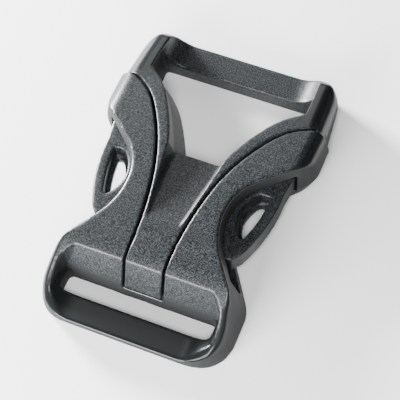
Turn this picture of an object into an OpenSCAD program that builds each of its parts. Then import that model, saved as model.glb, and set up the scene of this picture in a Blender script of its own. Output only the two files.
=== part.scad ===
// Side release buckle for 25 mm webbing, fastened: a socket and a plug, each one moulding.
// X runs across the buckle, Y along it towards the plug's loop, Z up. It lies on Z = 0,
// with the origin under the middle of its outline.

/* [Overall] */
// Length over both loops, mm
body_l = 57.3; // [56:0.1:60]
// Width over the socket's lobes, mm
lobe_w = 39.8; // [39:0.1:41]
// Width of the lower loop at its base, mm
loop_w = 34.6; // [34.2:0.1:36]
// Width of the upper loop at its base, mm
head_w = 36.2; // [35.8:0.1:37.4]
// Thickness at the crown of the top face, mm
body_t = 10.4; // [9.8:0.1:11]
// Radius of the long arch of the top face, mm
arch_r = 140; // [110:5:300]
// Gap between plug and socket along the seams, mm
seam_gap = 0.4; // [0.3:0.05:0.5]

/* [Webbing loops] */
// Clear width of the lower slot, mm
slot_w = 27; // [25.6:0.1:27.2]
// Width of the pocket over the lower slot, mm
pocket_w = 28.8; // [28:0.1:29.4]
// Clear length of the lower slot along the buckle, mm
slot_l = 3.7; // [3:0.1:4]
// Width of the bars along the buckle, mm
bar_w = 5.1; // [4.5:0.1:5.6]
// Thickness of the bars, mm
bar_t = 3.3; // [2.8:0.1:4]
// Clear width of the upper loop between its posts, mm
loop_in_w = 28.8; // [27:0.1:29.4]
// Corner radius of the upper loop, mm
head_corner_r = 5; // [4:0.5:6]
// Corner radius of the lower loop, mm
loop_corner_r = 7; // [5:0.5:8]

/* [Socket] */
// Width across the top arms at the waist, mm
waist_w = 17.8; // [17:0.1:18.6]
// Width of the bottom shell at the waist, mm
floor_waist_w = 21.2; // [20:0.1:22]
// Thickness of the bottom shell, mm
floor_t = 2.4; // [2:0.1:2.8]
// Thickness of the top arms over the windows, mm
arm_t = 3.1; // [2.6:0.1:3.6]
// Thickness of the lobes' side walls, mm
wall_t = 2.5; // [2:0.1:2.7]

/* [Plug] */
// Width of the tongue at the slot, seam to seam, mm
tongue_w = 7; // [6.6:0.1:7.4]
// Depth of the sunk plate at its upper edge, mm
plate_depth = 3; // [2:0.1:3.6]
// Length of the sunk plate, mm
plate_l = 14.8; // [13:0.1:15.2]
// Furthest reach of the finger tabs from the middle, mm
tab_x = 16.3; // [15.8:0.1:16.6]
// Running gap between the spring arms and the shells, mm
arm_gap = 0.4; // [0.3:0.05:0.5]

/* [Hidden] */
$fn = 96;
plastic = "#4a4d50";
y_low = -body_l / 2;
y_high = body_l / 2;
slot_y0 = y_low + bar_w;
slot_y1 = slot_y0 + slot_l;
crown_y = -5.5;
waist_y = -4;
lip_top_y = slot_y1 + 2.5;
lip_foot_y = slot_y1 + 0.3;
lip_foot_z = bar_t + 0.1;
pocket_r = 5;
scoop_run = 4.6;
bar_tilt = 12;
foot_r = 3.2;
plate_y1 = 5.3;
plate_lean = 1.9;
top_z = body_t - arm_t;
// The socket's floor laps under the plug by this much, so no light shows through the seams
lap = 1;

// Outline levels, base to top: height, half width of lower loop, waist, lobes and upper loop,
// the radius below the waist and the length of straight waist
levels = [
    [0, loop_w / 2, floor_waist_w / 2, lobe_w / 2 - 1.5, head_w / 2, 6, 2.2],
    [3.6, loop_w / 2 - 0.6, floor_waist_w / 2 - 0.5, lobe_w / 2, head_w / 2, 8, 0.4],
    [body_t, loop_w / 2 - 2.2, waist_w / 2 - 0.1, lobe_w / 2 - 1.5, head_w / 2 - 1, 14, 0.2]
];

// A point is [x, y, heading]; a step [r, a] turns it right by a with radius r, or left when
// both are negative, and a step [0, l] takes it straight on by l
function turned(p, r, a) = r == 0
    ? [p[0] + a * cos(p[2]), p[1] + a * sin(p[2]), p[2]]
    : [
        p[0] + r * (sin(p[2]) - sin(p[2] - a)),
        p[1] + r * (cos(p[2] - a) - cos(p[2])),
        p[2] - a
    ];
function leg(p, s, n) = s[0] == 0
    ? [turned(p, 0, s[1])]
    : [for (i = [1 : n]) turned(p, s[0], s[1] * i / n)];
function walk(p, steps, n, i = 0) = i == len(steps) ? [] :
    let (pts = leg(p, steps[i], n)) concat(pts, walk(pts[len(pts) - 1], steps, n, i + 1));

// Right half of the outline at one level, from the foot of the waist up and down, the sides
// over the lobes drawn in by e at the upper end
function up_steps(v, e) =
    let (a = 47, r = 9.5, q = 5, dx = v[3] - v[2] - (r + q) * (1 - cos(a)),
        l = dx / sin(a), y = waist_y + v[6] + (r + q) * sin(a) + l * cos(a),
        b = atan(e / (y_high - y)), c = head_corner_r)
    [[0, v[6]], [r, a], [0, l], [-q, -a - b],
        [0, (y_high - y - q * sin(b) - c * (1 - sin(b))) / cos(b)], [-c, b - 90]];
function down_steps(v) =
    let (a = 34, r = v[5], q = 6, c = loop_corner_r, dx = v[1] - v[2] - (r + q) * (1 - cos(a)),
        l = dx / sin(a), y = waist_y - (r + q) * sin(a) - l * cos(a))
    [[-r, -a], [0, l], [q, a], [0, y - y_low - c], [c, 90]];
function flat(pts) = [for (p = pts) [p[0], p[1]]];
function side(v, e) =
    let (up = flat(walk([v[2], waist_y, 90], up_steps(v, e), 8)),
        down = flat(walk([v[2], waist_y, -90], down_steps(v), 8)))
    concat([for (i = [len(down) - 1 : -1 : 0]) down[i]], [[v[2], waist_y]], up);

// A solid through mirrored outlines, each given by its right half at a height
module loft(halves, zs) {
    m = len(halves[0]);
    n = 2 * m;
    top = (len(zs) - 1) * n;
    pts = [for (k = [0 : len(zs) - 1]) each concat(
        [for (p = halves[k]) [p[0], p[1], zs[k]]],
        [for (i = [m - 1 : -1 : 0]) [-halves[k][i][0], halves[k][i][1], zs[k]]]
    )];
    walls = [for (k = [0 : n : top - n]) for (i = [0 : n - 1]) let (j = (i + 1) % n)
        each [[k + i, k + n + i, k + n + j], [k + i, k + n + j, k + j]]];
    caps = [for (i = [0 : m - 2]) let (a = i, b = i + 1, c = n - 2 - i, d = n - 1 - i)
        each [[a, b, c], [a, c, d], [top + c, top + b, top + a], [top + d, top + c, top + a]]];
    polyhedron(pts, concat(walls, caps));
}

// A whole body, its sides leaning from level to level; only the plug's is drawn in upwards
module body(drawn_in) {
    loft([for (v = levels) side(v, drawn_in ? v[3] - v[4] : 0)], [for (v = levels) v[0]]);
}

// The seam from the slot to the side
seam_steps = [[0, 5.3], [63.5, 12], [40.7, 22], [13, 26], [6, 62]];
seam_path = concat(
    [[tongue_w / 2, slot_y1 - 1, 90]],
    walk([tongue_w / 2, slot_y1 - 1, 90], seam_steps, 9)
);

// Moves each point of a path to its left by d0 at the start, growing to d1 at its end
function beside(path, d0, d1) = [
    for (i = [0 : len(path) - 1])
        let (p = path[i], d = d0 + (d1 - d0) * i / (len(path) - 1))
        [p[0] - d * sin(p[2]), p[1] + d * cos(p[2])]
];
function arc_pts(cx, cy, r, a0, a1, n = 12) = [
    for (i = [0 : n]) let (a = a0 + (a1 - a0) * i / n) [cx + r * cos(a), cy + r * sin(a)]
];

module both() {
    children();
    mirror([1, 0, 0]) children();
}

// A side profile in Y and Z, drawn out along X
module along_x(w) {
    translate([-w / 2, 0, 0]) rotate([90, 0, 90]) linear_extrude(w) children();
}

// Everything on the plug's side of the seams, the edge moved by d away from the plug
module plug_side(d) {
    edge = beside(seam_path, -d, -d);
    last = edge[len(edge) - 1];
    both() polygon(concat([[0, edge[0][1]]], edge, [[40, last[1]], [40, 60], [0, 60]]));
}

// Height of the arched top face at y
function arch_z(y) = body_t - arch_r + sqrt(arch_r * arch_r - (y - crown_y) * (y - crown_y));

// The lower posts sweep down from the arch to the bar in a soft S, the upper ones end round.
// Underneath, the lower bar's front edge is rounded, where the webbing turns
head_round = 3.4;
function sweep(y0, z0, y1, z1) = [
    for (i = [0 : 12]) [y0 + (y1 - y0) * i / 12, z0 + (z1 - z0) * (1 - cos(15 * i)) / 2]
];
module body_profile() {
    intersection() {
        translate([crown_y, body_t - arch_r]) circle(arch_r, $fn = 720);
        polygon(concat(
            arc_pts(y_low + foot_r - 0.05, foot_r, foot_r, 270, 180, 8),
            [[y_low - 1, foot_r], [y_low - 1, bar_t + 0.3]],
            sweep(y_low + 0.6, bar_t + 0.6, y_low + 14, arch_z(y_low + 14)),
            [[y_low + 14, 20], [y_high - head_round, 20]],
            arc_pts(y_high - head_round, arch_z(y_high - head_round) - head_round, head_round, 90, 0, 8),
            [[y_high, 0]]
        ));
    }
}

// The pocket over the lower slot: a steep lip at its back, rounded corners, its floor the
// top of the bar, which rises in a scoop at both ends
module pocket() {
    x = pocket_w / 2;
    intersection() {
        along_x(2 * x) polygon([[y_low - 2, bar_t - 2], [slot_y1, bar_t - 2], [lip_foot_y, lip_foot_z],
            [lip_top_y, arch_z(lip_top_y)], [lip_top_y + 1, 20], [y_low - 2, 20]]);
        translate([0, slot_y0, bar_t - 0.5]) rotate([-bar_tilt, 0, 0])
            scoop(pocket_w, 7, -8, 12);
        linear_extrude(20) both() hull() {
            translate([0, y_low - 2]) square([x, 1]);
            translate([x - pocket_r, lip_top_y - pocket_r + 0.6]) circle(pocket_r);
            translate([0, lip_top_y]) square([1, 1]);
        }
    }
}

// A hollow of width w from y0 to y1, its floor on Z = 0 rising at both ends with radius r
module scoop(w, r, y0, y1) {
    x = w / 2 - scoop_run;
    translate([0, y1, 0]) rotate([90, 0, 0]) linear_extrude(y1 - y0) both() intersection() {
        square([w / 2, 20]);
        union() {
            square([x, 20]);
            translate([0, r]) square([w, 20]);
            translate([x, r]) circle(r);
        }
    }
}

module socket_mass() {
    difference() {
        intersection() {
            body(false);
            along_x(lobe_w + 4) body_profile();
        }
        pocket();
    }
}

// Room for the spring arms, open at the windows and the mouth, walled at the lobes' sides
module arm_room() {
    x0 = tab_x + 0.4 + arm_gap;
    x1 = lobe_w / 2 - wall_t;
    translate([0, 0, floor_t]) linear_extrude(top_z - floor_t) difference() {
        translate([-30, -14]) square([60, 50]);
        both() polygon([[x0, 4], [x0, 8], [x1, 10], [x1, 47], [40, 47], [40, 4]]);
    }
}

// The slot seen from above, its corners a little rounded
module slot_plan() {
    r = 0.9;
    translate([-slot_w / 2 + r, slot_y0]) square([slot_w - 2 * r, slot_l]);
    translate([-slot_w / 2, slot_y0 + r]) square([slot_w, slot_l - 2 * r]);
    both() for (y = [slot_y0 + r, slot_y1 - r]) translate([slot_w / 2 - r, y]) circle(r);
}

module socket() {
    color(plastic) difference() {
        socket_mass();
        translate([0, 0, floor_t + 0.3]) linear_extrude(body_t) plug_side(seam_gap / 2);
        translate([0, 0, -1]) linear_extrude(body_t + 2) intersection() {
            plug_side(seam_gap / 2 - lap);
            translate([-40, plate_y1 - 2]) square([80, 60]);
        }
        arm_room();
        translate([0, 0, -1]) linear_extrude(body_t + 2) slot_plan();
    }
}

// The V opening, wide at the top and drawn in towards the base; one level of its edge
function v_level(i0, i1, d0, d1, x) =
    let (path = [for (i = [i0 : i1]) seam_path[i]],
        e = [for (p = beside(path, d0, d1)) [min(p[0], x), p[1]]])
    concat([[e[0][0] - 0.4, plate_y1]], e, [[x, y_high - bar_w]]);

module v_opening() {
    w = loop_in_w / 2;
    loft([
        v_level(15, 30, 4.8, 5.2, w - 0.6),
        v_level(15, 30, 2.5, 3.6, w),
        v_level(15, 30, 1.9, 3, w)
    ], [-1, 5, 14]);
}

module plug_mass() {
    intersection() {
        body(true);
        along_x(lobe_w + 4) body_profile();
        linear_extrude(body_t) plug_side(-seam_gap / 2);
        union() {
            linear_extrude(floor_t + 1) intersection() {
                plug_side(-seam_gap / 2 - lap);
                translate([-40, plate_y1 - 1.6]) square([80, 60]);
            }
            translate([-40, -40, floor_t + 0.7]) cube([80, 80, body_t]);
        }
    }
}

// The plate falls from the tongue's face to its upper edge, between walls that lean outwards
module plate_recess() {
    y0 = plate_y1 - plate_l;
    y1 = plate_y1 + 3;
    z0 = arch_z(y0);
    z1 = arch_z(plate_y1) - plate_depth;
    x0 = tongue_w / 2 - 0.4;
    x1 = tongue_w / 2 + 2.2;
    intersection() {
        along_x(2 * x1 + 2) polygon([[y0, z0], [y1, z1 - 3 * (z0 - z1) / plate_l],
            [y1, body_t + 1], [y0, body_t + 1]]);
        loft([
            [[x0 - plate_lean, y0 - 1], [x1 - plate_lean, plate_y1], [x1 - plate_lean, y1]],
            [[x0, y0 - 1], [x1, plate_y1], [x1, y1]]
        ], [z1 - 1, body_t + 1]);
    }
}

// Over the bar the upper loop is scooped out between the posts
module bar_scoop() {
    translate([0, 0, bar_t]) scoop(loop_in_w, scoop_run, y_high - bar_w - 0.5, y_high + 1);
}

// One spring arm with its finger tab, seen from above, on the right
module arm_outline() {
    polygon(concat(
        [[14.6, 20], [16.9, 20], [16.9, 10]],
        [[tab_x + 0.4, 7]],
        arc_pts(tab_x - 29, 3.4, 29, 1, -25, 12),
        [[12.2, -10.6], [9.4, -10.6], [9, -8]],
        arc_pts(8.4 + 14, -3, 14, 190, 140, 10),
        [[13.6, 12], [13.4, 18]]
    ));
}

// The finger hole, its edge drawn in by d
module finger_hole(d) {
    intersection() {
        translate([tab_x - 29, 3.4]) circle(27.1 - d);
        translate([10.5 + 6, -1.9]) circle(6 - d);
        translate([5, -6.2 + d]) square([20, 8.9 - 2 * d]);
    }
}

// The finger holes are stepped, narrower below
module spring_arms() {
    z0 = floor_t + arm_gap;
    step_z = z0 + 1.5;
    both() difference() {
        translate([0, 0, z0]) linear_extrude(top_z - arm_gap - z0) arm_outline();
        translate([0, 0, step_z]) linear_extrude(body_t) finger_hole(0);
        translate([0, 0, z0 - 1]) linear_extrude(body_t) finger_hole(0.7);
    }
}

module plug() {
    color(plastic) union() {
        difference() {
            plug_mass();
            v_opening();
            plate_recess();
            bar_scoop();
            pocket();
            translate([-40, y_low - 1, -1]) cube([80, slot_y1 - y_low + 1.1, body_t]);
        }
        spring_arms();
    }
}

socket();
plug();
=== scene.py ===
import math
import bpy
from mathutils import Matrix, Vector, kdtree


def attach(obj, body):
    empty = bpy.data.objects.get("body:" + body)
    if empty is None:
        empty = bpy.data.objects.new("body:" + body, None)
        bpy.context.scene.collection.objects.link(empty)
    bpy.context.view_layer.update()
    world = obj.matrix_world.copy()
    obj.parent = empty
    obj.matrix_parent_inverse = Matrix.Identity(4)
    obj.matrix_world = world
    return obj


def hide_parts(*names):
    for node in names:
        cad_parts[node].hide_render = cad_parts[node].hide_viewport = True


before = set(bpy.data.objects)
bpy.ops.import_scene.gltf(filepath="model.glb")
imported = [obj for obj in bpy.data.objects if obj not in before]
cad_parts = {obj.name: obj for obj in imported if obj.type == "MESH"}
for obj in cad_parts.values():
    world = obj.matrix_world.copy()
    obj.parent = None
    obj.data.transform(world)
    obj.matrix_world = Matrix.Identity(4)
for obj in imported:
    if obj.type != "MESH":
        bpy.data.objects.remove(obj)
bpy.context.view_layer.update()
mm = 0.001


def toLinear(hexColour):
    def channel(v):
        v = v / 255
        return v / 12.92 if v <= 0.04045 else ((v + 0.055) / 1.055) ** 2.4
    return tuple(channel(int(hexColour[i:i + 2], 16)) for i in (1, 3, 5)) + (1.0,)


def feed(material, socket, value):
    if isinstance(value, bpy.types.NodeSocket):
        material.node_tree.links.new(value, socket)
    else:
        socket.default_value = value


def addNode(material, kind, settings=None, inputs=None):
    node = material.node_tree.nodes.new(kind)
    for name, value in (settings or {}).items():
        setattr(node, name, value)
    for name, value in (inputs or {}).items():
        feed(material, node.inputs[name], value)
    return node


def pick(obj):
    bpy.ops.object.select_all(action="DESELECT")
    obj.select_set(True)
    bpy.context.view_layer.objects.active = obj


shot = {
    "azimuth": 29.36,     # degrees, from the front towards the right
    "elevation": 62.4,
    "roll": -8,
    "distance": 225,      # mm
    "target": (4.25, -3.45, 10.4),
    "lens": 122.7,
    "sensor": 36,
}


def addCamera():
    azimuth, elevation, roll = (math.radians(shot[k]) for k in ("azimuth", "elevation", "roll"))
    back = Vector((math.sin(azimuth) * math.cos(elevation), -math.cos(azimuth) * math.cos(elevation),
                   math.sin(elevation)))
    right = Vector((math.cos(azimuth), math.sin(azimuth), 0))
    up = back.cross(right)
    turnedRight = right * math.cos(roll) + up * math.sin(roll)
    turnedUp = up * math.cos(roll) - right * math.sin(roll)
    bpy.ops.object.camera_add()
    camera = bpy.context.object
    camera.data.lens = shot["lens"]
    camera.data.sensor_width = shot["sensor"]
    camera.data.clip_start = 10 * mm
    place = Matrix((turnedRight, turnedUp, back)).transposed().to_4x4()
    place.translation = (Vector(shot["target"]) + back * shot["distance"]) * mm
    camera.matrix_world = place
    bpy.context.scene.camera = camera


# A sheet of matt white paper, a hair below the part so that the two don't share a plane (mm)
paper = {"colour": "#fbfbfb", "roughness": 0.9, "size": 3000, "drop": 0.02}


def addFloor():
    bpy.ops.mesh.primitive_plane_add(size=paper["size"] * mm, location=(0, 0, -paper["drop"] * mm))
    floor = bpy.context.object
    floor.name = "floor"
    material = bpy.data.materials.new("whitePaper")
    material.use_nodes = True
    shader = material.node_tree.nodes["Principled BSDF"]
    shader.inputs["Base Color"].default_value = toLinear(paper["colour"])
    shader.inputs["Roughness"].default_value = paper["roughness"]
    floor.data.materials.append(material)


# The window gives the sheens on the left, the front light the ramp's tone and the top light the
# faces'. Places and sizes are in mm, and each light looks at the origin.
lights = {
    "window": {"place": (-278, 112, 75), "size": 80, "watts": 8.6},
    "back": {"place": (-70, 240, 180), "size": 150, "watts": 0.18},
    "front": {"place": (-90, -280, 55), "size": 220, "watts": 7},
    "top": {"place": (60, -150, 300), "size": 120, "watts": 1.2},
}
worldStrength = 0.05


def addLights():
    for name, light in lights.items():
        bpy.ops.object.light_add(type="AREA", location=[v * mm for v in light["place"]])
        lamp = bpy.context.object
        lamp.name = name
        lamp.data.shape = "SQUARE"
        lamp.data.size = light["size"] * mm
        lamp.data.energy = light["watts"]
        lamp.rotation_euler = Vector(light["place"]).to_track_quat("Z", "Y").to_euler()
    world = bpy.data.worlds.new("studio")
    bpy.context.scene.world = world
    world.use_nodes = True
    world.node_tree.nodes["Background"].inputs["Color"].default_value = (1, 1, 1, 1)
    world.node_tree.nodes["Background"].inputs["Strength"].default_value = worldStrength


addCamera()
addFloor()
addLights()
print("stage set")

# Acetal, injection moulded in a spark-eroded tool. The eye gets a dull charcoal face with a fine
# bright grain, and darker, smoother and glossier edges, bars and sides. The grain's tone differs at
# random, and its light tops are painted sheen and its dark pits painted shade; steep faces are
# darker still in painted shade.
acetalLook = {
    "grainToneAndSheen": "#363a3d",
    "grainToneAndPitShade": "#040505",
    "smoothColour": "#17191a",
    # The side colour is painted shade: faces that look sideways or down are coloured darker than the
    # smooth ones
    "paintedSideShade": "#101213",
    "pitSpacing": 0.195,      # mm; the real pits lie half as far apart and wouldn't show
    "pitDepth": 0.04,         # mm
    "pitEdge": (0.45, 0.62),  # noise heights of the pits' dark floor (painted shade) and of the light between them (painted sheen)
    "grainBump": 0.8,
    "smoothBump": 0.1,
    "grainRoughness": 0.4,
    "smoothRoughness": 0.22,
    "sideRoughness": 0.7,
    "ior": 1.48,
    "specular": 0.36,
    # how far a face turns outwards to be a side, and upwards to be none: parts of its normal
    "outward": (0.3, 0.6),
    "upward": (0.2, 0.5),
}


def ramp(material, value, limits, start=0.0, end=1.0):
    return addNode(material, "ShaderNodeMapRange", inputs={
        "Value": value, "From Min": limits[0], "From Max": limits[1], "To Min": start,
        "To Max": end}).outputs["Result"]


def combine(material, operation, first, second=0.0):
    return addNode(material, "ShaderNodeMath", {"operation": operation}, {0: first, 1: second}).outputs[0]


def mixColour(material, factor, first, second):
    # 6 and 7 are the colour inputs of the node and 2 is its colour output
    return addNode(material, "ShaderNodeMix", {"data_type": "RGBA"}, {
        "Factor": factor, 6: first, 7: second}).outputs[2]


def acetal(name, look, spec):
    material = bpy.data.materials.new(name)
    material.use_nodes = True
    place = addNode(material, "ShaderNodeTexCoord")
    point = addNode(material, "ShaderNodeSeparateXYZ", inputs={"Vector": place.outputs["Object"]})
    facing = addNode(material, "ShaderNodeSeparateXYZ", inputs={"Vector": place.outputs["Normal"]})
    across = combine(material, "ABSOLUTE", point.outputs["X"])
    outward = combine(material, "MULTIPLY", facing.outputs["X"],
                      combine(material, "SIGN", point.outputs["X"]))
    side = combine(material, "MULTIPLY", ramp(material, outward, look["outward"]),
                   ramp(material, across, [v * mm for v in spec["sides"]]))
    bare = 0.0
    for part in spec["bare"]:
        inside = 1.0
        for value, limits in zip((across, point.outputs["Y"], point.outputs["Z"]), part):
            if limits:
                inside = combine(material, "MULTIPLY", inside,
                                 ramp(material, value, [v * mm for v in limits]))
        bare = combine(material, "MAXIMUM", bare, inside)
    grained = combine(material, "SUBTRACT", 1.0, combine(material, "MAXIMUM", side, bare))
    moved = addNode(material, "ShaderNodeMapping", inputs={
        "Vector": place.outputs["Object"], "Location": [v * mm for v in spec["offset"]]})
    pits = addNode(material, "ShaderNodeTexNoise", inputs={
        "Vector": moved.outputs["Vector"], "Scale": 1 / (look["pitSpacing"] * mm), "Detail": 1.0,
        "Roughness": 0.5})
    # The grain's two colours: a random tone, darker in the pits as painted shade and lighter between them
    # as painted sheen
    grain = addNode(material, "ShaderNodeValToRGB", inputs={"Fac": pits.outputs["Fac"]})
    for stop, position, colour in zip(grain.color_ramp.elements, look["pitEdge"],
                                      (look["grainToneAndPitShade"], look["grainToneAndSheen"])):
        stop.position = position
        stop.color = toLinear(colour)
    # Painted shade: faces that turn from upwards to sideways or down take the darker side colour
    upright = ramp(material, facing.outputs["Z"], look["upward"])
    bareColourAndSideShade = mixColour(material, upright, toLinear(look["paintedSideShade"]),
                           toLinear(look["smoothColour"]))
    bareRoughness = ramp(material, upright, (0, 1), look["sideRoughness"], look["smoothRoughness"])
    bump = addNode(material, "ShaderNodeBump", inputs={
        "Height": pits.outputs["Fac"],
        "Strength": ramp(material, grained, (0, 1), look["smoothBump"], look["grainBump"]),
        "Distance": look["pitDepth"] * mm})
    shader = material.node_tree.nodes["Principled BSDF"]
    for socket, value in {
            "Base Color": mixColour(material, grained, bareColourAndSideShade, grain.outputs["Color"]),
            "Roughness": ramp(material, grained, (0, 1), bareRoughness, look["grainRoughness"]),
            "IOR": look["ior"], "Specular IOR Level": look["specular"],
            "Normal": bump.outputs["Normal"]}.items():
        feed(material, shader.inputs[socket], value)
    return material


# The seam between the mouldings, as the CAD lays it: a straight run and four arcs, each as
# (radius, angle), and the run as (0, length). Edges stay crisp as far from it as the first value
# of fade and are fully rounded from the second on.
seamLine = {
    "start": (3.5, -20.85),
    "steps": [(0, 5.3), (63.5, 12), (40.7, 22), (13, 26), (6, 62)],
    "parts": 12,
    "fade": (0.5, 2.1),
}


def seamPoints():
    x, y = seamLine["start"]
    parts = seamLine["parts"]
    heading = 90.0
    points = [(x, y)]
    for radius, amount in seamLine["steps"]:
        for i in range(parts):
            if radius == 0:
                x += amount / parts * math.cos(math.radians(heading))
                y += amount / parts * math.sin(math.radians(heading))
            else:
                after = heading - amount / parts
                x += radius * (math.sin(math.radians(heading)) - math.sin(math.radians(after)))
                y += radius * (math.cos(math.radians(after)) - math.cos(math.radians(heading)))
                heading = after
            points.append((x, y))
    return points


def seamTree():
    line = seamPoints()
    tree = kdtree.KDTree(len(line))
    for i, (x, y) in enumerate(line):
        tree.insert((x, y, 0), i)
    tree.balance()
    return tree


# The lobes and the posts are rounded over at their outer upper edges
rounding = {
    "radius": 2.5,
    "archHeight": 10.4, "archRadius": 140, "crownY": -5.5,
    # half width over the sides at two heights, and how far the plug's are drawn in upwards
    "low": 3.6, "lowX": 19.9, "high": 10.4, "highX": 18.4,
    "shoulderY": 7.5, "endY": 28.65, "drawnIn": 1.55,
}


def roundOver(p, drawnIn):
    r = rounding["radius"]
    lean = (p.z - rounding["low"]) / (rounding["high"] - rounding["low"])
    side = rounding["lowX"] + (rounding["highX"] - rounding["lowX"]) * lean
    along = (p.y - rounding["shoulderY"]) / (rounding["endY"] - rounding["shoulderY"])
    side -= drawnIn * along
    top = rounding["archHeight"] - rounding["archRadius"] + math.sqrt(
        rounding["archRadius"] ** 2 - (p.y - rounding["crownY"]) ** 2)
    u = side - abs(p.x)
    w = top - p.z
    if p.y < 0 or u > r or w > r:
        return p
    far = math.hypot(r - u, r - w)
    if far <= r:
        return p
    u = r - (r - u) * r / far
    w = r - (r - w) * r / far
    return Vector((math.copysign(side - u, p.x), p.y, top - w))


# Lengths are in mm, and limits say where an effect starts and where it is full. The offset moves
# the plug's grain, so that it doesn't run on across the seam.
pieces = {
    "socket": {
        "slot": "socket_plastic", "offset": (0, 0, 0), "drawnIn": 0,
        "crispPasses": 3, "softPasses": 16, "cornerPasses": 150,
        # boxes whose edges stay crisp, as low and high corner
        "crisp": [((-15, -18.6, 6), (15, -16.4, 12))],
        # the loops' outer corners are rounded widest: limits of |x|, y and z
        "corner": ((14.6, 15.8), (-12, -15), (1.5, 3.5)),
        "sides": (7.5, 8.5),    # from here outwards, a face that looks outwards is a side
        # bare of grain are the lower bar, its slot and the sides of the loop
        "bare": [(None, (-19.1, -19.5), None), ((14.2, 15), (-13, -15.5), None),
                 ((14.2, 15), None, (7.6, 7))],
    },
    "plug": {
        "slot": "plug_plastic", "offset": (13, 27, 0), "drawnIn": rounding["drawnIn"],
        "crispPasses": 3, "softPasses": 14, "cornerPasses": 70,
        "crisp": [((-5.6, -24, 2), (5.6, 6, 12))],
        "corner": ((15.5, 17.5), (22.5, 25.5), (1.5, 3.5)),
        "sides": (14.5, 16),
        # and the posts of the upper loop
        "bare": [((13.4, 14.6), (15.5, 18.5), None)],
    },
}

# The solid is welded, remeshed in voxels and smoothed, and a share of its faces is kept. An edge
# is crisp in a crisp box and fully rounded past the end of crispFade beside it.
meshing = {"weld": 0.002, "voxel": 0.2, "crispFade": (0, 1.2), "smoothing": 0.5, "kept": 0.55}


def share(value, limits):
    return min(1.0, max(0.0, (value - limits[0]) / (limits[1] - limits[0])))


def softness(p, tree, crisp):
    near = tree.find(Vector((abs(p.x), p.y, 0)))[2]
    w = share(near, seamLine["fade"])
    for low, high in crisp:
        outside = max(max(low[i] - p[i], p[i] - high[i], 0) for i in range(3))
        w = min(w, share(outside, meshing["crispFade"]))
    return w


def cornerness(p, corner):
    return math.prod(share(value, limits) for value, limits in zip((abs(p.x), p.y, p.z), corner))


def addGroup(obj, name, weigh):
    group = obj.vertex_groups.new(name=name)
    for v in obj.data.vertices:
        w = weigh(v.co)
        if w > 0.01:
            group.add([v.index], w, "REPLACE")
    return name


def applyModifier(obj, kind, settings):
    modifier = obj.modifiers.new(kind.lower(), kind)
    for name, value in settings.items():
        setattr(modifier, name, value)
    bpy.ops.object.modifier_apply(modifier=modifier.name)


def soften(obj, passes, group=""):
    applyModifier(obj, "SMOOTH", {"factor": meshing["smoothing"], "iterations": passes,
                                  "vertex_group": group})


def moulding(name, spec, tree):
    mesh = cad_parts[name].data.copy()
    obj = bpy.data.objects.new(name + "Moulding", mesh)
    bpy.context.scene.collection.objects.link(obj)
    mesh.materials.clear()
    pick(obj)
    mesh.transform(Matrix.Scale(1 / mm, 4))
    bpy.ops.object.mode_set(mode="EDIT")
    bpy.ops.mesh.select_all(action="SELECT")
    bpy.ops.mesh.remove_doubles(threshold=meshing["weld"])
    bpy.ops.object.mode_set(mode="OBJECT")
    applyModifier(obj, "REMESH", {"mode": "VOXEL", "voxel_size": meshing["voxel"]})
    for v in obj.data.vertices:
        v.co = roundOver(v.co, spec["drawnIn"])
    soft = addGroup(obj, "soft", lambda p: softness(p, tree, spec["crisp"]))
    soften(obj, spec["crispPasses"])
    soften(obj, spec["softPasses"], soft)
    soften(obj, spec["cornerPasses"], addGroup(obj, "corner", lambda p: cornerness(p, spec["corner"])))
    obj.vertex_groups.clear()
    applyModifier(obj, "DECIMATE", {"ratio": meshing["kept"]})
    obj.data.transform(Matrix.Scale(mm, 4))
    bpy.ops.object.shade_smooth()
    obj.data.materials.append(acetal(name + "Acetal", acetalLook, spec))
    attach(obj, "root")
    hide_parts(name)
    print(name, "moulded,", len(obj.data.polygons), "faces")


tree = seamTree()
for name, spec in pieces.items():
    moulding(name, spec, tree)
